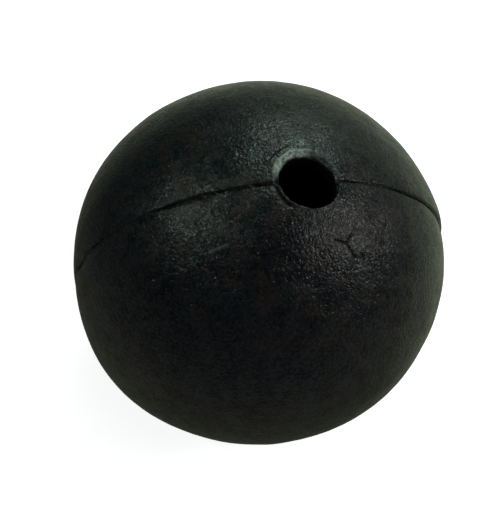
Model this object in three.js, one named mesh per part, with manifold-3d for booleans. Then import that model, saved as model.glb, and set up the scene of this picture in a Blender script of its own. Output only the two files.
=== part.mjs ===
// Case-opening friction ball for watch case backs: a hollow rubber ball that is pressed on the back and turned.
// It is two moulded half shells, joined rim to rim by a thin line of rubber cement, with one round air hole
// on the seam, so that the ball can be squeezed flat against the case and fills itself again.
//
// Millimetres. The origin is the ball's centre. +Z runs out through the middle of the air hole. The seam lies
// in the plane Y = 0, with the rear half shell on its +Y side and the front half shell on its -Y side.

import * as THREE from "three";
import { mergeVertices } from "three/addons/utils/BufferGeometryUtils.js";
import Module from "manifold-3d";

// Driving dimensions
const BALL_RADIUS = 32.5; // outside, measured in the plane of the seam
const POLE_SHARE = 0.972; // the ball's radius across the seam, as a share of its radius along it
const WALL = 3;
const HOLE_RADIUS = 4.5;
const HOLE_BEVEL = 0.5; // eased edge round the mouth of the hole
const CEMENT = 0.2; // thickness of the cement line between the rims
const RIM_BEVEL = 0.3; // eased outer edge of each rim, which leaves a fine groove along the seam

// Facets
const AROUND = 60;
const OUTER_STEPS = 15;
const INNER_STEPS = 10;
const HOLE_SIDES = 48;

// Worked out from the driving dimensions
const POLE_RADIUS = BALL_RADIUS * POLE_SHARE;
const INNER_RADIUS = BALL_RADIUS - WALL;
const INNER_POLE_RADIUS = POLE_RADIUS - WALL;
const RIM_Y = CEMENT / 2; // where each rim face lies, on its own side of the seam
const GROOVE_RADIUS = BALL_RADIUS - RIM_BEVEL;
const MOUTH_RADIUS = HOLE_RADIUS + HOLE_BEVEL;

const wasm = await Module();
wasm.setup();

const rubber = new THREE.MeshStandardMaterial({ color: 0x1a1c1b, roughness: 0.55, metalness: 0 });
const cement = new THREE.MeshStandardMaterial({ color: 0x0c0c0c, roughness: 0.7, metalness: 0 });

// A closed three.js geometry as a manifold-3d solid, without the flat triangles that a lathe leaves on its axis.
function toSolid(geometry) {
  const bare = geometry.clone().deleteAttribute("normal").deleteAttribute("uv");
  const merged = mergeVertices(bare, 1e-4);
  const triangles = [];
  for (let i = 0; i < merged.index.count; i += 3) {
    const [a, b, c] = [0, 1, 2].map((k) => merged.index.getX(i + k));
    if (a !== b && b !== c && c !== a) triangles.push(a, b, c);
  }
  return new wasm.Manifold(
    new wasm.Mesh({
      numProp: 3,
      vertProperties: merged.attributes.position.array,
      triVerts: new Uint32Array(triangles),
    }),
  );
}

function toGeometry(solid) {
  const mesh = solid.getMesh();
  const geometry = new THREE.BufferGeometry();
  geometry.setAttribute("position", new THREE.BufferAttribute(mesh.vertProperties, 3));
  geometry.setIndex(new THREE.BufferAttribute(mesh.triVerts, 1));
  return geometry;
}

// The cut for the air hole: a straight bore through the wall that opens into a bevel at the ball's surface.
function holeCut() {
  const insideZ = INNER_RADIUS * 0.7;
  const outsideZ = BALL_RADIUS + WALL;
  const mouthZ = Math.sqrt(BALL_RADIUS ** 2 - MOUTH_RADIUS ** 2);
  const bevelZ = mouthZ - HOLE_BEVEL;
  const outline = [
    new THREE.Vector2(0, insideZ),
    new THREE.Vector2(HOLE_RADIUS, insideZ),
    new THREE.Vector2(HOLE_RADIUS, bevelZ),
    new THREE.Vector2(HOLE_RADIUS + outsideZ - bevelZ, outsideZ),
    new THREE.Vector2(0, outsideZ),
  ];
  return toSolid(new THREE.LatheGeometry(outline, HOLE_SIDES).rotateX(Math.PI / 2));
}

// Points of a quarter ellipse from beside the seam, at startY, up to the pole on the axis.
function quarterArc(radius, poleRadius, startY, steps) {
  const start = Math.asin(startY / poleRadius);
  const points = [];
  for (let i = 0; i < steps; i += 1) {
    const angle = start + ((Math.PI / 2 - start) * i) / steps;
    points.push(new THREE.Vector2(radius * Math.cos(angle), poleRadius * Math.sin(angle)));
  }
  points.push(new THREE.Vector2(0, poleRadius));
  return points;
}

// One half of the ball on the +Y side: inner wall, rim face, rim bevel and outer wall, turned about the Y axis.
function halfShell() {
  const inner = quarterArc(INNER_RADIUS, INNER_POLE_RADIUS, RIM_Y, INNER_STEPS);
  const outer = quarterArc(BALL_RADIUS, POLE_RADIUS, RIM_Y + RIM_BEVEL, OUTER_STEPS);
  const outline = [...inner.reverse(), new THREE.Vector2(GROOVE_RADIUS, RIM_Y), ...outer];
  return new THREE.LatheGeometry(outline, AROUND);
}

// The cement between the two rim faces, as deep as the wall and flush with the bottom of the groove.
function cementRing() {
  const outline = [
    new THREE.Vector2(INNER_RADIUS, -RIM_Y),
    new THREE.Vector2(GROOVE_RADIUS, -RIM_Y),
    new THREE.Vector2(GROOVE_RADIUS, RIM_Y),
    new THREE.Vector2(INNER_RADIUS, RIM_Y),
    new THREE.Vector2(INNER_RADIUS, -RIM_Y),
  ];
  return new THREE.LatheGeometry(outline, AROUND);
}

const hole = holeCut();

function part(name, geometry, material) {
  const mesh = new THREE.Mesh(toGeometry(toSolid(geometry).subtract(hole)), material);
  mesh.name = name;
  return mesh;
}

const ball = new THREE.Group();
ball.add(part("rear_half_shell", halfShell(), rubber));
ball.add(part("front_half_shell", halfShell().rotateZ(Math.PI), rubber));
ball.add(part("seam_cement", cementRing(), cement));

export default ball;
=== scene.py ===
"""The looks of a case-opening friction ball: a hollow ball of black rubber, moulded as two half shells and
cemented rim to rim, with one round air hole on the seam.

Everything is in metres in the part's frame: the origin is the ball's centre, +Z runs out of the air hole,
and the seam lies in the plane Y = 0. Each half shell is one closed mesh, with its outside, the mouth and bore
of the hole, the inner wall and the rim face.
"""

import math

import bmesh
import bpy
import numpy as np
from mathutils import Matrix, Vector, noise


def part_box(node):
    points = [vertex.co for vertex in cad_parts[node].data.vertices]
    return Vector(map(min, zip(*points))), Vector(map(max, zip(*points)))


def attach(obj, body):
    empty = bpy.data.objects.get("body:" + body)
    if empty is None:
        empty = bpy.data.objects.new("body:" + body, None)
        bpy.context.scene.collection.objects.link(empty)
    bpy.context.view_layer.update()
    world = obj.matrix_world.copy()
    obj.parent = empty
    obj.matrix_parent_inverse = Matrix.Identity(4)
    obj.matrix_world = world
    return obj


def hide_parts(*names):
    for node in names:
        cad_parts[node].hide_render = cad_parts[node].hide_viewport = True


MM = 0.001

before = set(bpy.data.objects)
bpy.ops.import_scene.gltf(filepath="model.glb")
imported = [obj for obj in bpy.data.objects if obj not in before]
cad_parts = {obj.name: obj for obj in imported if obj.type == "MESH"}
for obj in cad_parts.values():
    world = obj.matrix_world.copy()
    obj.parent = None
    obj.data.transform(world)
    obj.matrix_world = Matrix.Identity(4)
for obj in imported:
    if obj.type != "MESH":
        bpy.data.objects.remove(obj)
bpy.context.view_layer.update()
_, shell_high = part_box("rear_half_shell")

# The ball, as the frame has it
RADIUS = shell_high.x  # outside radius in the plane of the seam
POLE_SHARE = shell_high.y / shell_high.x  # radius across the seam, as a share of RADIUS
WALL = 3 * MM
RIM_Y = 0.1 * MM  # where each rim face lies, on its own side of the seam

# The air hole. Angles round it run from +X towards +Y.
BORE_RADIUS = 4.5 * MM
BORE_OVAL = 0.04  # how much longer than wide the hole is, as a share of its radius
BORE_OVAL_AT = math.radians(140)
LIP_WIDTH = 0.88 * MM  # width of the rounded mouth, on average
LIP_SWING = 0.48 * MM  # how much wider it is on its wide side
LIP_WIDE_AT = math.radians(98)
LIP_DEPTH = 0.8 * MM
LIP_RELIEF = 0.15  # share of the skin's relief that is left at the bottom of the mouth
INNER_LIP = 0.3 * MM
NEAR_HOLE = 9 * MM  # how far from the hole's axis the surface follows the mouth's shape

# The seam
GROOVE_DEPTH = 0.38 * MM  # how far the rim's outer edge is rounded down
GROOVE_WIDTH = 0.14 * MM
DIP_DEPTH = 0.06  # mm, of the shallow dip that the groove lies in
DIP_WIDTH = 1.2  # mm
STEP_WIDTH = 4.5  # mm from the rim that a step between the halves reaches
CEMENT_DEPTH = 0.10 * MM  # how far the cement stays below the bottom of the groove
CEMENT_FILL = 0.9  # share of the gap between the rims that the cement takes up
BEAD_HEIGHT = 0.05  # mm, of the cement's beaded outer edge, on average
BEAD_SWING = 0.07  # mm, how much that height varies
BEAD_LEAST = 0.01  # mm
BEAD_WAVE = 0.05  # wavelength of the beads, as a share of RADIUS
BEAD_WIDTH = 0.55  # half width of a bead, as a share of its height

# Seeds of each half's random relief and of the ragged edges of its marks, and of the cement's beads
REAR_SEED = 3
FRONT_SEED = 8
BEAD_SEED = 11

# Mesh density
EDGE_STEPS = (0, 0.05, 0.11, 0.18, 0.27, 0.38, 0.52, 0.72, 1.0, 1.4)  # mm from the rim face
MIDDLE_COLUMNS = 210
NARROW_RING = 4 * MM  # rings of a smaller radius than this squeeze their edge steps together
LIP_RINGS = 12
NEAR_RINGS = 24
FAR_RINGS = 220
RING_SQUEEZE = 1.25  # above 1, the rings stand closer together towards the hole
NEAR_SQUEEZE = 1.4  # the same for the rings near the hole
POLE_GAP = 0.012  # radians left under the ball, where one point closes the rings
BORE_RINGS = 6
INNER_RINGS = 36
CEMENT_SAMPLES = 900
SHARP_ANGLE = math.radians(50)

# The camera looks down on the hole from the front left
CAMERA_FROM = Vector((-0.2867, -0.3684, 0.8843)).normalized()
CAMERA_UP = Vector((0.0419, 0.9175, 0.3955))
CAMERA_DISTANCE = 8 * RADIUS
CAMERA_LENS = 100.5  # mm, on a 36 mm sensor
CAMERA_SHIFT = (-0.0130, -0.0036)

# Colours of the rubber: dark, pale and the tinge of its pale patches
REAR_COLOURS = (0.0030, 0.0046, 0.0056, 1), (0.0112, 0.0158, 0.0142, 1), (0.0200, 0.0158, 0.0100, 1)
FRONT_COLOURS = (0.0032, 0.0042, 0.0058, 1), (0.0118, 0.0142, 0.0145, 1), (0.0205, 0.0148, 0.0102, 1)
CEMENT_COLOURS = (0.0025, 0.0025, 0.0025, 1), (0.0075, 0.0070, 0.0060, 1), (0.0110, 0.0085, 0.0060, 1)
SCUFF_COLOUR = (0.060, 0.066, 0.058, 1)
DUST_COLOUR = (0.16, 0.165, 0.155, 1)
# Painted highlight colour for the lit side of the hole's rounded mouth
LIP_HIGHLIGHT_COLOUR = (0.33, 0.40, 0.345, 1)
# Painted shade colour for the creases, the dark band in the front of the hole's mouth and the pits
PAINTED_SHADE_COLOUR = (0.0015, 0.0015, 0.0015, 1)

# The studio, in metres
FLOOR_HALF = 12  # half the side of the floor
FLOOR_COLOUR = (0.9, 0.9, 0.9, 1)
FLOOR_GLOW = 0.85
BACKDROP_RADIUS = 4
BACKDROP_COLOUR = (0, 0, 0, 1)
BACKDROP_GLOW = 0.98
BRIGHT_SIDE = (0.62, 0.70, 0.35)  # the room is brighter this way
ROOM_RISE = (0.45, 0.95)  # how far along BRIGHT_SIDE it is dark and bright
ROOM_DARK = (0.010, 0.016, 0.028, 1)
ROOM_BRIGHT = (0.18, 0.195, 0.18, 1)
BRIGHT_TABLE = (0.66, 0.75, 0.0)  # and the table this way
TABLE_RISE = (0.25, 0.75)
TABLE_DARK = (0.078, 0.084, 0.062, 1)
TABLE_BRIGHT = (0.44, 0.51, 0.37, 1)
TABLE_TILT = (-0.3, 0.0, 1.0)  # the table's far edge stands higher to the right
TABLE_EDGE = (-0.75, -0.28)  # how far along TABLE_TILT the table ends and the room starts

# Soft windows and glows round the ball: azimuth from +X, elevation and half width in degrees, and radiance
WINDOWS = (
    (71, 36, 20, (0.58, 0.80, 0.70)),
    (71, 37, 9, (9.00, 12.6, 10.9)),
    (-2, 44, 20, (0.48, 0.48, 0.45)),
    (-10, 49, 9, (8.60, 8.60, 8.20)),
    (-20, 48, 9, (2.10, 2.10, 2.00)),
    (162, 38, 14, (0.45, 0.52, 0.45)),
    (161, 38, 6, (16.5, 19.5, 16.5)),
    (-86, -12, 66, (0.074, 0.077, 0.075)),
    (-30, 0, 40, (0.110, 0.112, 0.100)),
    (-165, -35, 50, (0.080, 0.082, 0.074)),
)


# --- Shape ----------------------------------------------------------------------------------------


def smooth(x):
    """0 below 0, 1 above 1 and a smooth rise between."""
    x = np.clip(x, 0, 1)
    return x * x * (3 - 2 * x)


def bell(x, width):
    return np.exp(-((x / width) ** 2))


def fractal(points, wavelength, octaves, seed):
    """Smooth random heights of about -1 to 1 at each point, with detail from wavelength down."""
    offset = Vector((seed * 7.31, seed * 3.17, seed * 5.93))
    places = (Vector(p) / wavelength + offset for p in points.reshape(-1, 3))
    heights = [noise.fractal(place, 1.0, 2.0, octaves) for place in places]
    return np.array(heights).reshape(points.shape[:-1])


def round_seam(angle):
    """An angle round the seam wrapped to -180..180 degrees: 0 at the hole, +90 towards +X."""
    return (angle + 180) % 360 - 180


def seam_angle(points):
    return np.degrees(np.arctan2(points[..., 0], points[..., 2]))


# Broad swells and flats of a ball that isn't quite round: (direction, height in mm, how wide in degrees)
SWELLS = (
    ((-0.72, -0.52, -0.44), 0.42, 20),
    ((-0.97, 0.10, -0.24), -0.42, 20),
    ((0.60, -0.79, -0.12), 0.22, 20),
    ((0.91, 0.17, 0.37), 0.15, 20),
    ((0.45, -0.30, 0.84), 0.16, 12),
    ((0.10, -0.55, 0.83), -0.14, 14),
    ((-0.55, 0.35, 0.76), 0.10, 12),
    ((-0.45, 0.75, 0.48), -0.12, 16),
    ((0.35, 0.80, 0.49), 0.10, 14),
)

# The skin's own unevenness: (wavelength in mm, octaves, what is added to the seed, height in mm)
UNEVEN = ((14, 2, 0, 0.08), (6, 2, 3, 0.05), (2.4, 3, 1, 0.022))

# Places along the seam where the rear half stands proud of the front one: (degrees, how wide, height in mm)
STEPS = ((68, 22, 0.50), (35, 10, 0.14), (-40, 9, -0.16), (-82, 9, 0.20), (150, 30, -0.2), (-140, 25, 0.22))

# Places where the groove along the seam is wider and deeper: (degrees, how wide, share added)
NICKS = (
    (-8.5, 1.1, 2.6),
    (-11, 1.4, 0.8),
    (-21, 1.5, 0.9),
    (-29, 1.6, 1.4),
    (-35, 5, 0.9),
    (-84, 4, 2.0),
    (64, 8, 1.2),
    (118, 3, 1.4),
    (-150, 3, 1.6),
)

# Stretches of the seam where cement fills the groove: (degrees, how wide, share filled)
FILLS = (
    (-58, 9, 0.75),
    (-47, 3, 0.5),
    (-3, 3, 0.3),
    (20, 6, 0.6),
    (45, 8, 0.4),
    (100, 14, 0.7),
    (-120, 12, 0.6),
)


def arc(centre, radius, start, end, steps=8):
    """Places along a round stretch, as (x, y) in mm. start and end are angles in degrees."""
    angles = np.radians(np.linspace(start, end, steps + 1))
    return [(centre[0] + radius * math.cos(a), centre[1] + radius * math.sin(a)) for a in angles]


# Fine cracks and dents beside the hole: a line of (x, y) places on the ball, its width and its depth. In mm.
CREASES = (
    (((3, -9.5), (5, -10), (6.5, -12)), 0.21, 0.11),
    (((5, -10), (6, -8.5)), 0.14, 0.06),
    (((7.5, -11.5), (8, -12)), 0.18, 0.08),
    (((11.5, -14), (12.5, -14)), 0.25, 0.12),
    (((13.5, -13), (14.5, -14)), 0.22, 0.12),
    (arc((0, 0), 7, 105, 145), 0.12, 0.05),
    (((-5, 0.5), (-4, 0)), 0.45, 0.45),
    (arc((0, 0), 5.2, -176, -133), 0.62, 0.30),
)

# Pale scuffs and rubbed tops of lumps, given like the creases without a depth
SCUFFS = (
    (((-16, -9), (-13.5, -8.5)), 0.45),
    (((-2.5, -9), (0, -8.5)), 0.22),
    (((-1, -8.5), (0.5, -8)), 0.20),
    (arc((0, 0), 4.5, -179, -140), 0.22),
    (((-15.5, 1.5), (-15, 1.5)), 0.35),
    (arc((-14, -1), 0.5, 0, 300), 0.25),
    (((-7, 1), (-6.5, 1)), 0.30),
    (((-10.5, 5.5), (-10.5, 6.5)), 0.22),
    (((-5, 11), (-5, 11.5)), 0.28),
    (((-5.5, 3.5), (-5.5, 4)), 0.60),
    (((-10, -2.5), (-10, -3.5)), 0.25),
    (((-14, -5.5), (-13.5, -5.5)), 0.25),
    (((-9, 15), (-5, 17)), 0.20),
    (((6, 17), (11, 16)), 0.18),
)

# Small lumps and blisters on the skin beside the hole: (x, y, radius, height), all in mm
LUMPS = (
    (-15, 1.5, 0.35, 0.15),
    (-14, -1, 0.55, 0.16),
    (-6.5, 1, 0.30, 0.12),
    (-10.5, 6, 0.35, 0.10),
    (-5, 11.5, 0.35, 0.12),
    (-5.5, 4, 0.60, 0.08),
    (8.5, 6.5, 0.35, 0.10),
    (-9, -13.5, 0.30, 0.10),
    (1.5, -17, 0.30, 0.10),
)

# Crumbs of cement squeezed out of the seam: (degrees, length in mm, height in mm)
CRUMBS = (
    (-17, 0.7, 0.62),
    (-19.5, 0.4, 0.55),
    (-26.5, 0.4, 0.60),
    (-30.5, 0.6, 0.66),
    (-48, 0.3, 0.30),
    (24, 0.3, 0.34),
    (47, 0.4, 0.40),
    (95, 0.5, 0.30),
    (-112, 0.5, 0.40),
    (160, 0.6, 0.62),
)


def on_ball(x, y):
    """The place on the plain ball above (x, y), on the hole's side. In mm."""
    return Vector((x, y, math.sqrt((RADIUS / MM) ** 2 - x**2 - y**2)))


def from_line(points, places):
    """How far each point is from a line of (x, y) places on the ball, seen along Z. All in mm."""
    nearest = np.full(points.shape[:-1], np.inf)
    for start, end in zip(places, places[1:]):
        offset, along = points[..., :2] - start, np.subtract(end, start)
        share = np.clip(offset @ along / (along @ along), 0, 1)
        nearest = np.minimum(nearest, np.linalg.norm(offset - share[..., None] * along, axis=-1))
    return np.where(points[..., 2] > 0, nearest, np.inf)


def near_lines(points, lines, seed):
    """1 along each (line, width) and 0 away from it, with a ragged edge."""
    points = points / MM
    ragged = 0.12 * fractal(points, 0.8, 2, seed)
    share = np.zeros(points.shape[:-1])
    for places, width in lines:
        share = np.maximum(share, 1 - smooth(from_line(points, places) / width + ragged))
    return share


def painted_lip_highlight(points, turn, bore, mouth, seed):
    """1 where the hole's rounded mouth gets a painted highlight, on the +Y side away from the seam, 0
    elsewhere.
    """
    rho = np.linalg.norm(points[..., :2], axis=-1)
    ragged = 0.25 * fractal(points, 1.5 * MM, 3, seed)
    outer = 1 - smooth((rho - mouth) / (0.3 * MM) + ragged)
    inner = smooth((rho - bore) / (0.35 * MM))
    stretch = smooth((np.degrees(turn) - 60) / 40) * smooth((170 - np.degrees(turn)) / 20)
    patchy = 0.75 + 0.45 * fractal(points, 1.1 * MM, 3, seed + 6)
    return outer * inner * np.clip(stretch * patchy, 0.14, 1) * (points[..., 2] > 0)


def relief(points, side, seed):
    """How far the outside stands out from the plain ball at each point, in metres."""
    directions = points / np.linalg.norm(points, axis=-1, keepdims=True)
    height = np.zeros(points.shape[:-1])
    for towards, swell, width in SWELLS:
        away = np.degrees(np.arccos(np.clip(directions @ np.array(Vector(towards).normalized()), -1, 1)))
        height += swell * bell(away, width)
    for wavelength, octaves, shift, rise in UNEVEN:
        height += rise * fractal(points, wavelength * MM, octaves, seed + shift)
    for places, width, depth in CREASES:
        height -= depth * bell(from_line(points / MM, places), width)
    for x, y, radius, lump in LUMPS:
        height += lump * bell(np.linalg.norm(points / MM - on_ball(x, y), axis=-1), radius)

    angle = seam_angle(points)
    from_rim = np.abs(points[..., 1]) / MM - RIM_Y / MM
    for at, width, step in STEPS:
        height += side * step / 2 * bell(round_seam(angle - at), width) * bell(from_rim, STEP_WIDTH)

    wander = 1 + 0.35 * fractal(points, 5 * MM, 2, seed + 2)
    for at, width, share in NICKS:
        wander += share * bell(round_seam(angle - at), width)
    open_share = 1 - sum(share * bell(round_seam(angle - at), width) for at, width, share in FILLS)
    groove = GROOVE_DEPTH / MM * bell(from_rim, GROOVE_WIDTH / MM * wander) * np.clip(open_share, 0.1, 1)
    groove += DIP_DEPTH * wander * bell(from_rim, DIP_WIDTH)
    return (height - groove) * MM


def hole_outline(turn):
    """The bore's radius and the width of its rounded mouth at each angle round the hole."""
    bore = BORE_RADIUS * (1 + BORE_OVAL * np.cos(2 * (turn - BORE_OVAL_AT)))
    lip = LIP_WIDTH + LIP_SWING * np.cos(turn - LIP_WIDE_AT)
    lip *= 1 + 0.07 * np.sin(5 * turn + 1) + 0.05 * np.sin(11 * turn)
    bore *= 1 + 0.010 * np.sin(7 * turn) + 0.006 * np.sin(16 * turn + 2)
    return bore, lip


def profile(turn):
    """The half shell's section at each angle round Z: outside from under the ball up to the hole's mouth,
    down the bore and back along the inside. Gives distance from Z and height, one row for each ring, and the
    number of rows that belong to the outside and the mouth.
    """
    bore, lip = hole_outline(turn)
    mouth = bore + lip
    inner = RADIUS - WALL
    rings = []

    far_angle = math.asin(NEAR_HOLE / RADIUS)
    everywhere = np.ones_like(turn)
    for share in np.linspace(1, 0, FAR_RINGS):
        angle = far_angle + (math.pi - POLE_GAP - far_angle) * share**RING_SQUEEZE
        rings.append((RADIUS * math.sin(angle) * everywhere, RADIUS * math.cos(angle) * everywhere))
    for share in np.linspace(0, 1, NEAR_RINGS + 1)[1:]:
        closing = 1 - (1 - share) ** NEAR_SQUEEZE
        rho = NEAR_HOLE + (mouth - NEAR_HOLE) * closing
        rings.append((rho, np.sqrt(RADIUS**2 - rho**2)))
    mouth_z = np.sqrt(RADIUS**2 - mouth**2)
    for step in np.linspace(0, math.pi / 2, LIP_RINGS + 1)[1:]:
        rings.append((bore + lip * (1 - math.sin(step)), mouth_z - LIP_DEPTH * (1 - math.cos(step))))
    outside = len(rings)

    inside_z = np.sqrt(inner**2 - (bore + INNER_LIP) ** 2)
    bore_top = mouth_z - LIP_DEPTH
    for share in np.linspace(0, 1, BORE_RINGS + 1)[1:]:
        rings.append((bore, bore_top + (inside_z + INNER_LIP - bore_top) * share))
    for step in (math.pi / 4, math.pi / 2):
        rings.append((bore + INNER_LIP * (1 - math.cos(step)), inside_z + INNER_LIP * (1 - math.sin(step))))
    for share in np.linspace(0, 1, INNER_RINGS + 1)[1:]:
        start = np.arcsin((bore + INNER_LIP) / inner)
        angle = start + (math.pi - POLE_GAP - start) * share
        rings.append((inner * np.sin(angle), inner * np.cos(angle)))
    return np.array([r[0] for r in rings]), np.array([r[1] for r in rings]), outside


def half_shell(name, side, seed):
    """One half of the ball as a closed mesh, on the +Y side for side 1 and the -Y side for side -1."""
    columns = 2 * len(EDGE_STEPS) + MIDDLE_COLUMNS
    even_turn = np.linspace(0, math.pi, columns)
    rho, height, outside = profile(even_turn)

    # Columns next to the seam stand at fixed distances from it, so that the groove keeps one width all round.
    squeeze = np.minimum(1, rho[:, 0] / NARROW_RING)
    turns = np.empty_like(rho)
    for ring in range(len(rho)):
        edge_y = RIM_Y + np.array(EDGE_STEPS) * MM * squeeze[ring]
        edge = np.arcsin(edge_y / (POLE_SHARE * rho[ring, 0]))
        middle = np.linspace(edge[-1], math.pi - edge[-1], MIDDLE_COLUMNS + 2)[1:-1]
        turns[ring] = [*edge, *middle, *(math.pi - edge[::-1])]
    world_turns = turns * side
    for ring in range(len(rho)):
        row_rho, row_height, _ = profile(world_turns[ring])
        rho[ring], height[ring] = row_rho[ring], row_height[ring]

    points = np.stack((rho * np.cos(world_turns), POLE_SHARE * rho * np.sin(world_turns), height), axis=-1)
    slope = points / np.array((RADIUS, RADIUS * POLE_SHARE, RADIUS)) ** 2
    normals = slope / np.linalg.norm(slope, axis=-1, keepdims=True)
    fade = np.ones(len(rho))
    fade[outside:] = 0
    fade[outside - LIP_RINGS : outside] = np.linspace(1, LIP_RELIEF, LIP_RINGS)
    rise = relief(points[:outside], side, seed) * fade[:outside, None]
    points[:outside] += normals[:outside] * rise[..., None]
    points[:, 0, 1] = side * RIM_Y
    points[:, -1, 1] = side * RIM_Y

    skin = points[:outside]
    bore, lip = hole_outline(world_turns[:outside])
    # Painted highlight: only the rear half's rounded mouth is coloured pale, on the side that faces the light
    lip_highlight = np.zeros(skin.shape[:-1])
    if side > 0:
        lip_highlight = painted_lip_highlight(skin, world_turns[:outside], bore, bore + lip, seed)
    # Where the creases lie; the material darkens them with painted shade
    cracks = near_lines(skin, [(places, width) for places, width, depth in CREASES], seed + 4)
    carried = {"cracks": cracks, "scuffs": near_lines(skin, SCUFFS, seed + 5), "lip_highlight": lip_highlight}

    rings = len(points)
    vertices = points.reshape(-1, 3).tolist()
    vertices.append((0, side * RIM_Y, -RADIUS))
    vertices.append((0, side * RIM_Y, -(RADIUS - WALL)))
    under, floor_inside = len(vertices) - 2, len(vertices) - 1
    at = np.arange(rings * columns).reshape(rings, columns)

    faces = []
    for row, after in zip(at, at[1:]):
        for column in range(columns - 1):
            faces.append((row[column], row[column + 1], after[column + 1], after[column]))
    for column in range(columns - 1):
        faces.append((under, at[0, column + 1], at[0, column]))
        faces.append((floor_inside, at[-1, column], at[-1, column + 1]))
    faces += rim_face(at[:, 0], under, floor_inside, outside)
    faces += [face[::-1] for face in rim_face(at[:, -1], under, floor_inside, outside)]
    if side < 0:
        faces = [face[::-1] for face in faces]
    return new_mesh(name, vertices, faces, carried)


def rim_face(edge, under, floor_inside, outside):
    """Faces of the flat rim on one side of the hole, between the outside's edge and the inside's edge."""
    outer = [under, *edge[:outside]]
    inner = [floor_inside, *edge[:outside:-1], edge[outside]]
    faces = []
    i = j = 0
    outer_steps, inner_steps = len(outer) - 1, len(inner) - 1
    while i < outer_steps or j < inner_steps:
        outer_is_next = (i + 1) / outer_steps <= (j + 1) / inner_steps
        if j == inner_steps or (i < outer_steps and outer_is_next):
            faces.append((outer[i], outer[i + 1], inner[j]))
            i += 1
        else:
            faces.append((outer[i], inner[j + 1], inner[j]))
            j += 1
    return faces


def cement_ring(name):
    """The cement between the rims: a thin band round the seam, open at the hole, with a beaded outer edge."""
    share = np.linspace(0, 1, CEMENT_SAMPLES)
    rows = []
    for outer, half_width, bulge in (
        (False, -1, 0),
        (True, -1, 0),
        (True, -1, 0.6),
        (True, 0, 1),
        (True, 1, 0.6),
        (True, 1, 0),
        (False, 1, 0),
    ):
        start = math.asin(BORE_RADIUS * (1 + BORE_OVAL) / (RADIUS - WALL * (not outer)))
        angle = start + (2 * math.pi - 2 * start) * share
        around = np.stack((np.sin(angle), np.zeros(CEMENT_SAMPLES), np.cos(angle)), axis=-1)
        degrees = round_seam(np.degrees(angle))
        radius = np.full(CEMENT_SAMPLES, RADIUS - WALL)
        if outer:
            rear_rim = relief(around * RADIUS + (0, RIM_Y, 0), 1, REAR_SEED)
            front_rim = relief(around * RADIUS - (0, RIM_Y, 0), -1, FRONT_SEED)
            radius = RADIUS + np.minimum(rear_rim, front_rim) - CEMENT_DEPTH
        bead = BEAD_HEIGHT + BEAD_SWING * fractal(around, BEAD_WAVE, 3, BEAD_SEED)
        for at, length, height in CRUMBS:
            bead += height * bell(round_seam(degrees - at), math.degrees(length * MM / RADIUS))
        bead = np.maximum(bead, BEAD_LEAST) * MM
        side_y = half_width * (RIM_Y * CEMENT_FILL + bulge * bead * BEAD_WIDTH)
        row = around * (radius + bulge * bead)[:, None]
        row[:, 1] = side_y
        rows.append(row)
    points = np.stack(rows, axis=1)
    count = points.shape[1]
    at = np.arange(CEMENT_SAMPLES * count).reshape(CEMENT_SAMPLES, count)
    faces = []
    for i in range(CEMENT_SAMPLES - 1):
        for j in range(count):
            k = (j + 1) % count
            faces.append((at[i, j], at[i + 1, j], at[i + 1, k], at[i, k]))
    faces.append(tuple(at[0]))
    faces.append(tuple(at[-1][::-1]))
    return new_mesh(name, points.reshape(-1, 3).tolist(), faces)


def new_mesh(name, vertices, faces, carried=None):
    """A smooth object. carried gives values for the material at the first of its points."""
    mesh = bpy.data.meshes.new(name)
    mesh.from_pydata(vertices, [], [tuple(int(v) for v in face) for face in faces])
    mesh.validate()
    for kind, values in (carried or {}).items():
        everywhere = np.zeros(len(mesh.vertices))
        everywhere[: values.size] = values.ravel()
        mesh.attributes.new(kind, "FLOAT", "POINT").data.foreach_set("value", everywhere)
    mesh.shade_smooth()
    mesh.set_sharp_from_angle(angle=SHARP_ANGLE)
    piece = bpy.data.objects.new(name, mesh)
    bpy.context.collection.objects.link(piece)
    return piece


# --- Material -------------------------------------------------------------------------------------


class Nodes:
    """Short calls for building one node tree."""

    def __init__(self, tree, place="Object"):
        self.tree = tree
        self.place = self.add("ShaderNodeTexCoord").outputs[place]

    def add(self, kind, **settings):
        node = self.tree.nodes.new(kind)
        for key, value in settings.items():
            setattr(node, key, value)
        return node

    def put(self, value, socket):
        if isinstance(value, bpy.types.NodeSocket):
            self.tree.links.new(value, socket)
        else:
            socket.default_value = value

    def math(self, operation, *values):
        node = self.add("ShaderNodeMath", operation=operation)
        for value, socket in zip(values, node.inputs):
            self.put(value, socket)
        return node.outputs[0]

    def vector(self, operation, *values):
        node = self.add("ShaderNodeVectorMath", operation=operation)
        for value, socket in zip(values, node.inputs):
            self.put(value, socket)
        return node.outputs["Value" if operation == "DOT_PRODUCT" else "Vector"]

    def noise(self, wavelength, detail, roughness, place=None):
        node = self.add("ShaderNodeTexNoise")
        self.put(place or self.place, node.inputs["Vector"])
        self.put(1 / wavelength, node.inputs["Scale"])
        self.put(detail, node.inputs["Detail"])
        self.put(roughness, node.inputs["Roughness"])
        return node.outputs["Fac"]

    def span(self, value, low, high, to_low=0.0, to_high=1.0, kind="LINEAR"):
        node = self.add("ShaderNodeMapRange", interpolation_type=kind)
        for given, socket in zip((value, low, high, to_low, to_high), node.inputs):
            self.put(given, socket)
        return node.outputs[0]

    def mix(self, share, first, second):
        node = self.add("ShaderNodeMix", data_type="RGBA")
        self.put(share, node.inputs[0])
        self.put(first, node.inputs[6])
        self.put(second, node.inputs[7])
        return node.outputs[2]

    def sum(self, *values):
        total = values[0]
        for value in values[1:]:
            total = self.math("ADD", total, value)
        return total

    def carried(self, name):
        """A value that the mesh carries at each of its points."""
        return self.add("ShaderNodeAttribute", attribute_name=name).outputs["Fac"]

    def combine(self, value):
        node = self.add("ShaderNodeCombineXYZ")
        for socket in node.inputs:
            self.put(value, socket)
        return node.outputs[0]


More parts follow.
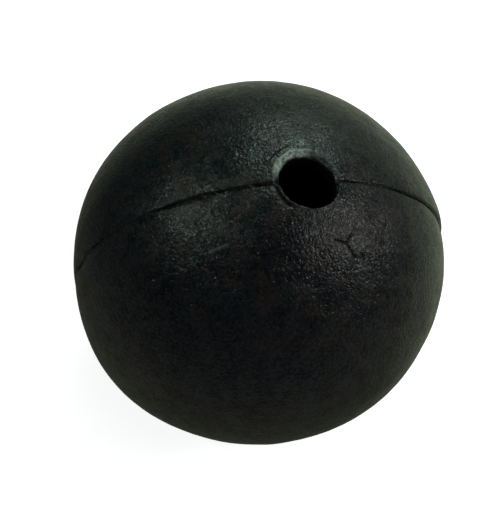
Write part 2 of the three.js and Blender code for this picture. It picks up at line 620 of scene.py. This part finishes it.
def cells(n, spacing, rare, biggest):
    """1 on small round specks scattered over the surface and 0 elsewhere. rare is the share of cells that
    have none. spacing and biggest are in metres.
    """
    node = n.add("ShaderNodeTexVoronoi", feature="F1")
    n.put(n.place, node.inputs["Vector"])
    n.put(1 / spacing, node.inputs["Scale"])
    chance = n.vector("DOT_PRODUCT", node.outputs["Color"], (1.0, 0.0, 0.0))
    size = n.span(chance, rare, 1.0, 0.0, biggest / spacing)
    return n.span(n.math("SUBTRACT", size, node.outputs["Distance"]), 0.0, 0.03, 0, 1)


def rubber(name, dark, pale, tinge):
    """Old black rubber: grimy mottling, patches of duller and shinier skin, wiping streaks and specks of
    dust, with the cracks and scuffs that the mesh carries, painted shade in the cracks and pits, and a
    painted highlight on the lit side of the hole's mouth.
    """
    material = bpy.data.materials.new(name)
    material.use_nodes = True
    shader = material.node_tree.nodes["Principled BSDF"]
    n = Nodes(material.node_tree)

    patches = n.noise(7 * MM, 3, 0.6)
    mottle = n.noise(1.9 * MM, 3, 0.6)
    grain = n.noise(0.54 * MM, 2, 0.6)
    powder = n.noise(0.30 * MM, 1, 0.5)
    blotches = n.noise(2.6 * MM, 3, 0.65)
    streaks = n.noise(0.9 * MM, 3, 0.6, place=n.vector("MULTIPLY", n.place, (0.18, 1.0, 1.0)))
    specks = cells(n, 1.4 * MM, 0.80, 0.15 * MM)
    pits = cells(n, 3.1 * MM, 0.80, 0.26 * MM)
    cracks, scuffed, lit_lip = n.carried("cracks"), n.carried("scuffs"), n.carried("lip_highlight")

    grime = n.sum(
        n.math("MULTIPLY", patches, 0.25),
        n.math("MULTIPLY", mottle, 0.25),
        n.math("MULTIPLY", grain, 0.30),
        n.math("MULTIPLY", powder, 0.20),
    )
    bloom = n.mix(n.span(n.noise(3.6 * MM, 3, 0.6), 0.42, 0.58), pale, tinge)
    colour = n.mix(n.span(grime, 0.42, 0.60), dark, bloom)
    colour = n.mix(n.math("MULTIPLY", scuffed, 0.75), colour, SCUFF_COLOUR)
    colour = n.mix(n.math("MULTIPLY", specks, 0.6), colour, DUST_COLOUR)
    # Painted highlight: the lit side of the hole's rounded mouth is coloured pale green
    lip_highlight_share = n.math("MULTIPLY", lit_lip, n.span(grain, 0.38, 0.56, 0.35, 1.0))
    colour = n.mix(lip_highlight_share, colour, LIP_HIGHLIGHT_COLOUR)
    # Painted shade: the creases, the dark band in the front of the mouth and the pits are coloured near black
    colour = n.mix(n.math("MAXIMUM", cracks, pits), colour, PAINTED_SHADE_COLOUR)
    n.put(colour, shader.inputs["Base Color"])

    rough = n.sum(
        n.span(patches, 0.36, 0.64, 0.12, 0.20),
        n.span(mottle, 0.36, 0.64, 0.0, 0.12),
        n.span(powder, 0.36, 0.64, 0.0, 0.12),
        n.math("MULTIPLY", cracks, 0.5),
    )
    n.put(rough, shader.inputs["Roughness"])

    sheen = n.sum(n.span(blotches, 0.38, 0.62, 0.22, 0.50), n.span(grain, 0.36, 0.64, 0.0, 0.30))
    # Painted shade: the sheen is also cut in the creases
    n.put(n.math("MULTIPLY", sheen, n.span(cracks, 0, 1, 1.0, 0.15)), shader.inputs["Specular IOR Level"])

    height = n.sum(
        n.math("MULTIPLY", mottle, 0.08),
        n.math("MULTIPLY", grain, 0.16),
        n.math("MULTIPLY", powder, 0.07),
        n.math("MULTIPLY", streaks, 0.05),
        n.math("MULTIPLY", cracks, -0.08),
        n.math("MULTIPLY", pits, -0.04),
        n.math("MULTIPLY", specks, 0.06),
        n.math("MULTIPLY", scuffed, 0.02),
    )
    bump = n.add("ShaderNodeBump")
    bump.inputs["Strength"].default_value = 1.0
    bump.inputs["Distance"].default_value = MM
    n.put(height, bump.inputs["Height"])
    n.put(bump.outputs["Normal"], shader.inputs["Normal"])
    return material


# --- Studio ---------------------------------------------------------------------------------------


def camera():
    data = bpy.data.cameras.new("camera")
    data.lens = CAMERA_LENS
    data.shift_x, data.shift_y = CAMERA_SHIFT
    data.clip_start, data.clip_end = 0.01, 20
    eye = bpy.data.objects.new("camera", data)
    up = (CAMERA_UP - CAMERA_UP.project(CAMERA_FROM)).normalized()
    right = up.cross(CAMERA_FROM)
    turn = Matrix((right, up, CAMERA_FROM)).transposed().to_4x4()
    eye.matrix_world = Matrix.Translation(CAMERA_FROM * CAMERA_DISTANCE) @ turn
    bpy.context.collection.objects.link(eye)
    bpy.context.scene.camera = eye


def lamp(name, direction, distance, size, radiance):
    """A round area light that faces the ball, as bright all over as radiance says."""
    data = bpy.data.lights.new(name, "AREA")
    data.shape = "DISK"
    data.size = size
    data.energy = radiance * math.pi * math.pi * (size / 2) ** 2
    light = bpy.data.objects.new(name, data)
    direction = Vector(direction).normalized()
    light.location = direction * distance
    light.rotation_mode = "QUATERNION"
    light.rotation_quaternion = direction.to_track_quat("Z", "Y")
    light.visible_camera = False
    bpy.context.collection.objects.link(light)
    return light


def from_angles(azimuth, elevation):
    """The direction at an azimuth from +X and an elevation, both in degrees."""
    azimuth, elevation = math.radians(azimuth), math.radians(elevation)
    level = math.cos(elevation)
    return Vector((math.cos(azimuth) * level, math.sin(azimuth) * level, math.sin(elevation)))


def glowing(name, mesh, colour, strength):
    """A matt stage piece with light of its own, which the ball neither mirrors nor is lit by."""
    stage = bpy.data.objects.new(name, mesh)
    bpy.context.collection.objects.link(stage)
    material = bpy.data.materials.new(name)
    material.use_nodes = True
    shader = material.node_tree.nodes["Principled BSDF"]
    shader.inputs["Base Color"].default_value = colour
    shader.inputs["Roughness"].default_value = 0.9
    shader.inputs["Specular IOR Level"].default_value = 0.0
    shader.inputs["Emission Color"].default_value = (1, 1, 1, 1)
    shader.inputs["Emission Strength"].default_value = strength
    mesh.materials.append(material)
    stage.visible_glossy = False
    stage.visible_diffuse = False
    return stage


def floor_and_backdrop():
    """A pale floor under the ball and a white backdrop far behind it."""
    sheet = bpy.data.meshes.new("floor")
    corners = [(x * FLOOR_HALF, y * FLOOR_HALF, -RADIUS) for x, y in ((-1, -1), (1, -1), (1, 1), (-1, 1))]
    sheet.from_pydata(corners, [], [(0, 1, 2, 3)])
    glowing("floor", sheet, FLOOR_COLOUR, FLOOR_GLOW)

    form = bmesh.new()
    bmesh.ops.create_uvsphere(form, u_segments=48, v_segments=24, radius=BACKDROP_RADIUS)
    dome = bpy.data.meshes.new("backdrop")
    form.to_mesh(dome)
    form.free()
    backdrop = glowing("backdrop", dome, BACKDROP_COLOUR, BACKDROP_GLOW)
    backdrop.visible_shadow = False
    backdrop.visible_transmission = False


def surroundings():
    """What lights the ball and shows in its sheen: a dim room, brighter to the back right, a table and
    soft windows.
    """
    world = bpy.data.worlds.new("surroundings")
    world.use_nodes = True
    n = Nodes(world.node_tree, "Generated")
    room_light = n.span(n.vector("DOT_PRODUCT", n.place, BRIGHT_SIDE), *ROOM_RISE)
    room = n.mix(room_light, ROOM_DARK, ROOM_BRIGHT)
    table_light = n.span(n.vector("DOT_PRODUCT", n.place, BRIGHT_TABLE), *TABLE_RISE)
    table = n.mix(table_light, TABLE_DARK, TABLE_BRIGHT)
    above = n.span(n.vector("DOT_PRODUCT", n.place, TABLE_TILT), *TABLE_EDGE)
    light = n.mix(above, table, room)
    for azimuth, elevation, half_width, radiance in WINDOWS:
        towards = n.vector("DOT_PRODUCT", n.place, from_angles(azimuth, elevation))
        share = n.span(towards, math.cos(math.radians(half_width)), 1, 0, 1, "SMOOTHSTEP")
        light = n.vector("ADD", light, n.vector("MULTIPLY", n.combine(share), radiance))
    n.put(light, n.tree.nodes["Background"].inputs["Color"])
    bpy.context.scene.world = world


camera()

rear = half_shell("rear_shell", 1, REAR_SEED)
front = half_shell("front_shell", -1, FRONT_SEED)
cement = cement_ring("seam_bead")

rear.data.materials.append(rubber("rear_rubber", *REAR_COLOURS))
front.data.materials.append(rubber("front_rubber", *FRONT_COLOURS))
cement.data.materials.append(rubber("cement_rubber", *CEMENT_COLOURS))

for piece, node, slot in (
    (rear, "rear_half_shell", "moulded_rubber"),
    (front, "front_half_shell", "moulded_rubber"),
    (cement, "seam_cement", "rubber_cement"),
):
    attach(piece, "root")
    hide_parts(node)

floor_and_backdrop()
surroundings()
overhead = lamp("overhead", direction=(0.1, 0.1, 1), distance=1.0, size=1.0, radiance=1.0)
overhead.visible_glossy = False
bpy.context.scene.view_settings.view_transform = "Standard"
